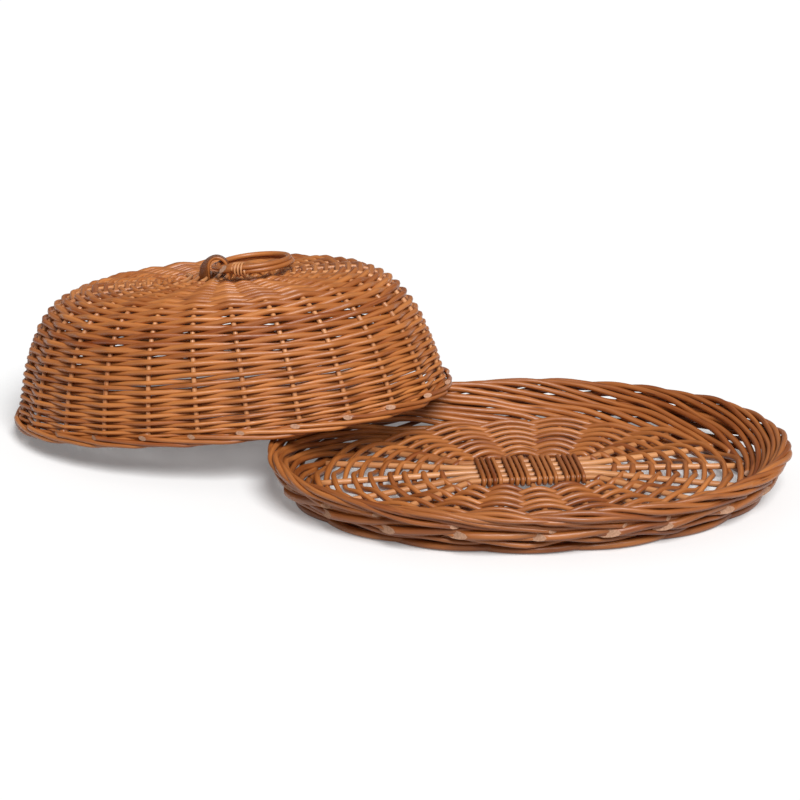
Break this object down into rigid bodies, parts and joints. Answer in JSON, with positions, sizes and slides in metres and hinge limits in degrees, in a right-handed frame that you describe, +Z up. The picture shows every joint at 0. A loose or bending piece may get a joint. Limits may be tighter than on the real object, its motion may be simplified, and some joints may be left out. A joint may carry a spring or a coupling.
{
  "type": "wicker bread box",
  "caption": "Oval willow bread box: a shallow tray with a rolled rod rim on a low foot, and a loose domed woven cover with a ring handle, taken off and leaning on the rim.",
  "frame": {"origin": "on the table, under the middle of the box around the tray and the leaning cover", "axes": "+X along the tray's long axis, +Z up from the table, +Y away from the viewer"},
  "size_m": [0.6174, 0.4618, 0.1537],
  "materials": {
    "willow_weave": "satin buff willow weavers",
    "willow_rod": "satin buff willow rods with pale cut ends",
    "willow_stake": "satin buff willow stakes and sticks",
    "bark_strap": "flat dark skein of willow bark"
  },
  "bodies": {
    "tray": {"tray_foot_wale": "willow_rod", "tray_floor_weave": "willow_weave", "tray_cross_stick_1": "willow_stake", "tray_cross_stick_2": "willow_stake", "tray_cross_stick_3": "willow_stake", "tray_cross_stick_4": "willow_stake", "tray_cross_stick_5": "willow_stake", "tray_long_stick_1": "willow_stake", "tray_long_stick_2": "willow_stake", "tray_long_stick_3": "willow_stake", "tray_long_stick_4": "willow_stake", "tray_long_stick_5": "willow_stake", "tray_rod_01": "willow_rod", "tray_rod_02": "willow_rod", "tray_rod_03": "willow_rod", "tray_rod_04": "willow_rod", "tray_rod_05": "willow_rod", "tray_rod_06": "willow_rod", "tray_rod_07": "willow_rod", "tray_rod_08": "willow_rod", "tray_rod_09": "willow_rod", "tray_rod_10": "willow_rod", "tray_rod_11": "willow_rod", "tray_rod_12": "willow_rod", "tray_rod_13": "willow_rod", "tray_rod_14": "willow_rod", "tray_rod_15": "willow_rod", "tray_rod_16": "willow_rod", "tray_rod_17": "willow_rod", "tray_rod_18": "willow_rod", "tray_rod_19": "willow_rod", "tray_rod_20": "willow_rod"},
    "cover": {"cover_weave": "willow_weave", "cover_long_rib_1": "willow_stake", "cover_long_rib_2": "willow_stake", "cover_long_rib_3": "willow_stake", "cover_long_rib_4": "willow_stake", "cover_long_rib_5": "willow_stake", "cover_cross_rib_1": "willow_stake", "cover_cross_rib_2": "willow_stake", "cover_cross_rib_3": "willow_stake", "cover_cross_rib_4": "willow_stake", "cover_cross_rib_5": "willow_stake", "cover_cross_rib_6": "willow_stake", "cover_cross_rib_7": "willow_stake", "cover_border": "willow_rod", "handle_strap": "bark_strap"},
    "ring": {"handle_ring": "willow_rod", "handle_binding": "willow_weave"}
  },
  "joints": [
    {"name": "cover_lift", "type": "slide", "parent": "tray", "child": "cover", "axis": [0.6847, -0.4808, 0.5478], "range_m": [0, 0.3286]},
    {"name": "ring_swing", "type": "hinge", "parent": "cover", "child": "ring", "pos_m": [-0.13681, 0.10192, 0.14194], "axis": [-0.2624, -0.9617, 0.0798], "range_deg": [0, 180]}
  ]
}
